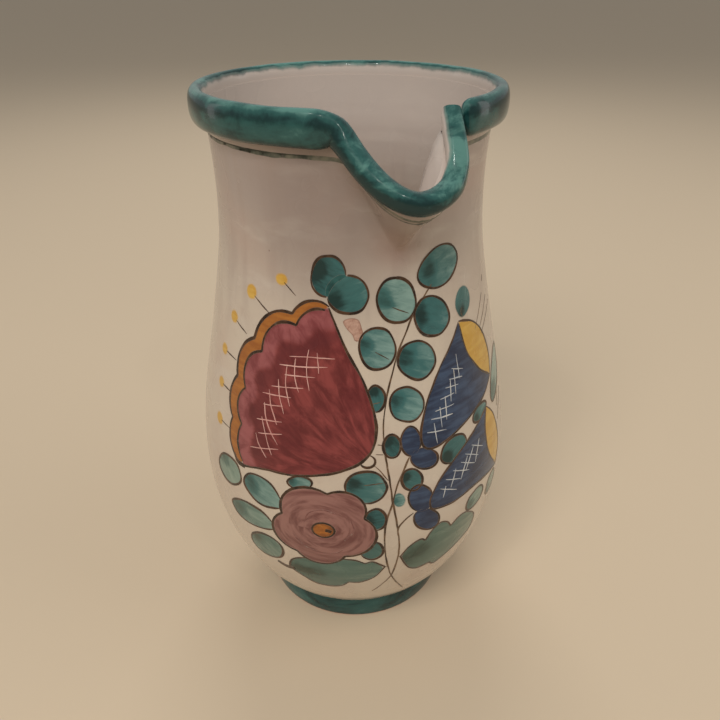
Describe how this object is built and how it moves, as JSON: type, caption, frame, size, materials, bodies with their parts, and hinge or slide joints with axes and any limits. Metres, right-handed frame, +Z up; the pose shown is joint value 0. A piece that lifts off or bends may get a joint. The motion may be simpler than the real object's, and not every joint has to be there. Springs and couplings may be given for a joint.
{
  "type": "ceramic pitcher",
  "caption": "Round-bellied ceramic pitcher with a low foot, a pouring beak pulled out of the neck, a thick rolled rim and a strap handle.",
  "frame": {"origin": "middle of the foot's flat underside, on the axis the pitcher was thrown on", "axes": "+Z up along the thrown axis, -Y the way the beak pours, +Y towards the handle, +X to the right when looking at the beak from the handle's far side"},
  "size_m": [0.1586, 0.1891, 0.275],
  "materials": {
    "cream_glaze": "glossy tin glaze with painted flowers",
    "green_glaze": "glossy copper green brushed over the glaze, bare clay under the foot"
  },
  "bodies": {
    "root": {"foot": "green_glaze", "vessel_wall": "cream_glaze", "mouth_collar": "green_glaze", "beak_lip": "green_glaze", "handle": "cream_glaze"}
  },
  "joints": []
}
